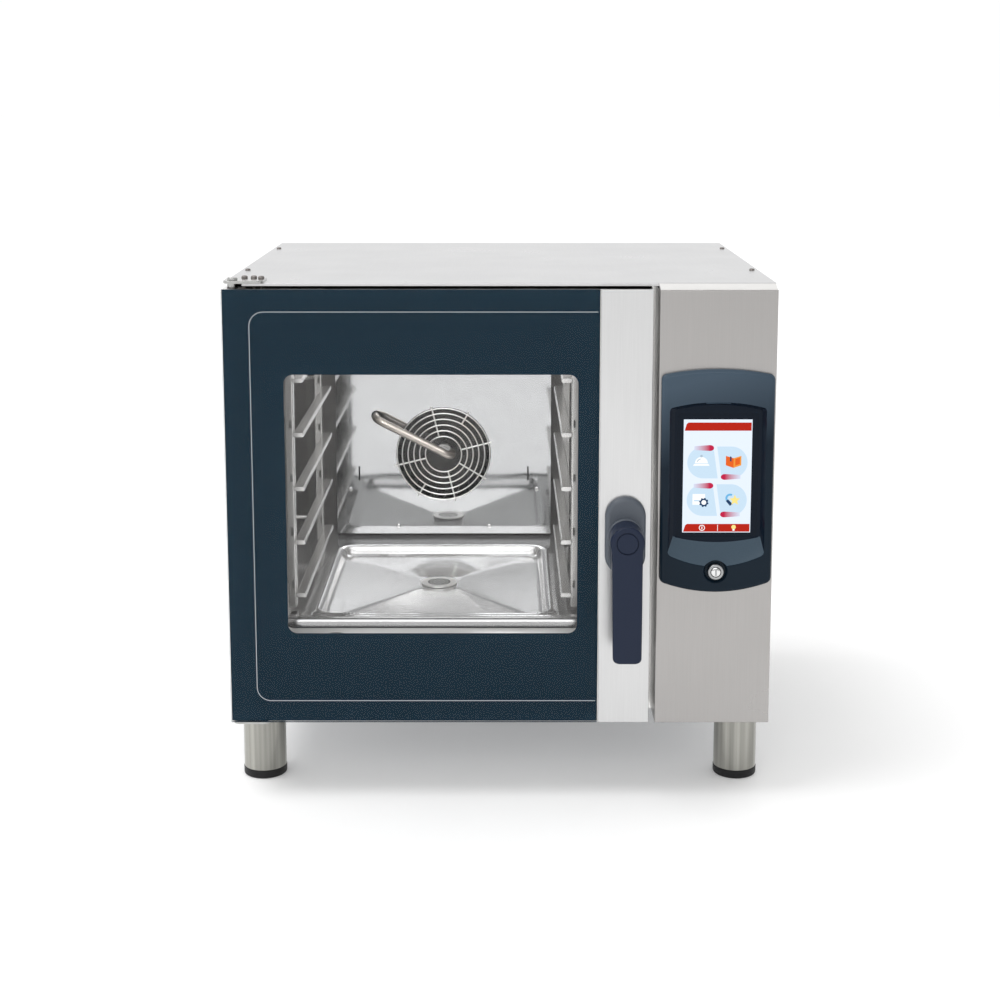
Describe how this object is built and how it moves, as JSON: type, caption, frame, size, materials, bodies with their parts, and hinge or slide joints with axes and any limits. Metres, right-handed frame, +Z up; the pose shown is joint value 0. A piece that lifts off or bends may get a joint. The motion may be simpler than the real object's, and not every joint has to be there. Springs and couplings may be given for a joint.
{
  "type": "combi steamer oven",
  "caption": "Countertop combi steamer oven with a glazed left-hinged door, turning latch lever, fan and rack-lined cavity, touch screen panel and stainless legs.",
  "frame": {"origin": "on the floor, at the middle of the oven's plan outline", "axes": "+X to the right seen from the front, +Y from the door towards the rear, +Z up"},
  "size_m": [0.7, 0.695, 0.6825],
  "materials": {
    "brushed_stainless": "satin brushed stainless sheet",
    "polished_stainless": "bright rolled stainless sheet",
    "navy_print": "dark navy ceramic print behind the outer pane",
    "clear_glass": "clear tempered glass",
    "slate_plastic": "navy moulded plastic, satin to gloss",
    "black_plastic": "black plastic or black paint",
    "galvanised_steel": "plain folded steel sheet",
    "mineral_wool": "mineral wool",
    "silicone": "black silicone",
    "chrome": "bright plated metal",
    "bright_wire": "polished stainless wire or tube",
    "circuit_board": "circuit board with its parts",
    "display_plastic": "touch screen with a lit picture",
    "white_plastic": "white plastic",
    "lamp_glass": "frosted borosilicate glass",
    "heater_sheath": "dull nickel alloy heater sheath"
  },
  "bodies": {
    "cabinet": {"baffle_panel": "polished_stainless", "baffle_screws": "chrome", "base_tray": "galvanised_steel", "cable_gland": "black_plastic", "casing_screws": "chrome", "cavity_back_wall": "polished_stainless", "cavity_floor": "polished_stainless", "cavity_lamp": "chrome", "cavity_liner": "polished_stainless", "compartment_partition": "galvanised_steel", "control_bezel": "slate_plastic", "control_board": "circuit_board", "control_fascia": "brushed_stainless", "cooling_fan_frame": "black_plastic", "door_gasket": "silicone", "door_striker": "brushed_stainless", "drain_pipe": "brushed_stainless", "fan_guard": "bright_wire", "fan_motor": "black_plastic", "front_frame": "polished_stainless", "heating_element": "heater_sheath", "hinge_screws": "chrome", "insulation": "mineral_wool", "lamp_glass": "lamp_glass", "left_rack": "polished_stainless", "left_side_panel": "brushed_stainless", "leg_tubes": "brushed_stainless", "lower_hinge": "brushed_stainless", "rear_panel": "galvanised_steel", "right_rack": "polished_stainless", "right_side_panel": "brushed_stainless", "screen_glass": "display_plastic", "screen_module": "black_plastic", "temperature_probe": "chrome", "top_cover": "brushed_stainless", "upper_hinge": "brushed_stainless", "vent_pipe": "brushed_stainless", "water_tube": "bright_wire", "water_valve": "white_plastic"},
    "fan": {"fan_impeller": "polished_stainless", "motor_shaft": "brushed_stainless"},
    "cooling_rotor": {"cooling_fan_rotor": "black_plastic"},
    "sieve": {"drain_sieve": "brushed_stainless"},
    "knob_stem": {"knob_stem": "chrome"},
    "knob": {"knob_cap": "chrome"},
    "door": {"door_shell": "polished_stainless", "door_outer_glass": "clear_glass", "door_glass_print": "navy_print", "door_inner_glass": "clear_glass", "inner_glass_seal": "silicone", "handle_panel": "brushed_stainless", "handle_escutcheon": "slate_plastic", "hinge_bushes": "black_plastic"},
    "handle": {"handle_lever": "slate_plastic", "handle_cap": "slate_plastic", "latch_spindle": "brushed_stainless"},
    "front_left_foot": {"foot_front_left": "black_plastic"},
    "front_right_foot": {"foot_front_right": "black_plastic"},
    "rear_left_foot": {"foot_rear_left": "black_plastic"},
    "rear_right_foot": {"foot_rear_right": "black_plastic"}
  },
  "joints": [
    {"name": "door_swing", "type": "hinge", "parent": "cabinet", "child": "door", "pos_m": [-0.338, -0.2745, 0.386], "axis": [0, 0, -1], "range_deg": [0, 120]},
    {"name": "handle_turn", "type": "hinge", "parent": "door", "child": "handle", "pos_m": [0.1607, -0.2975, 0.3544], "axis": [0, 1, 0], "range_deg": [-90, 90]},
    {"name": "knob_push", "type": "slide", "parent": "cabinet", "child": "knob_stem", "axis": [0, 1, 0], "range_m": [0, 0.0015], "stiffness_N_per_m": 400},
    {"name": "knob_turn", "type": "hinge", "parent": "knob_stem", "child": "knob", "pos_m": [0.27625, -0.3065, 0.3076], "axis": [0, 1, 0], "continuous": true},
    {"name": "fan_spin", "type": "hinge", "parent": "cabinet", "child": "fan", "pos_m": [-0.0885, 0.2225, 0.359], "axis": [0, 1, 0], "continuous": true},
    {"name": "cooling_fan_spin", "type": "hinge", "parent": "cabinet", "child": "cooling_rotor", "pos_m": [0.27, 0.2925, 0.34], "axis": [0, 1, 0], "continuous": true},
    {"name": "sieve_lift", "type": "slide", "parent": "cabinet", "child": "sieve", "axis": [0, 0, 1], "range_m": [0, 0.06]},
    {"name": "front_left_foot_adjust", "type": "slide", "parent": "cabinet", "child": "front_left_foot", "axis": [0, 0, -1], "range_m": [0, 0.02]},
    {"name": "front_right_foot_adjust", "type": "slide", "parent": "cabinet", "child": "front_right_foot", "axis": [0, 0, -1], "range_m": [0, 0.02]},
    {"name": "rear_left_foot_adjust", "type": "slide", "parent": "cabinet", "child": "rear_left_foot", "axis": [0, 0, -1], "range_m": [0, 0.02]},
    {"name": "rear_right_foot_adjust", "type": "slide", "parent": "cabinet", "child": "rear_right_foot", "axis": [0, 0, -1], "range_m": [0, 0.02]}
  ]
}
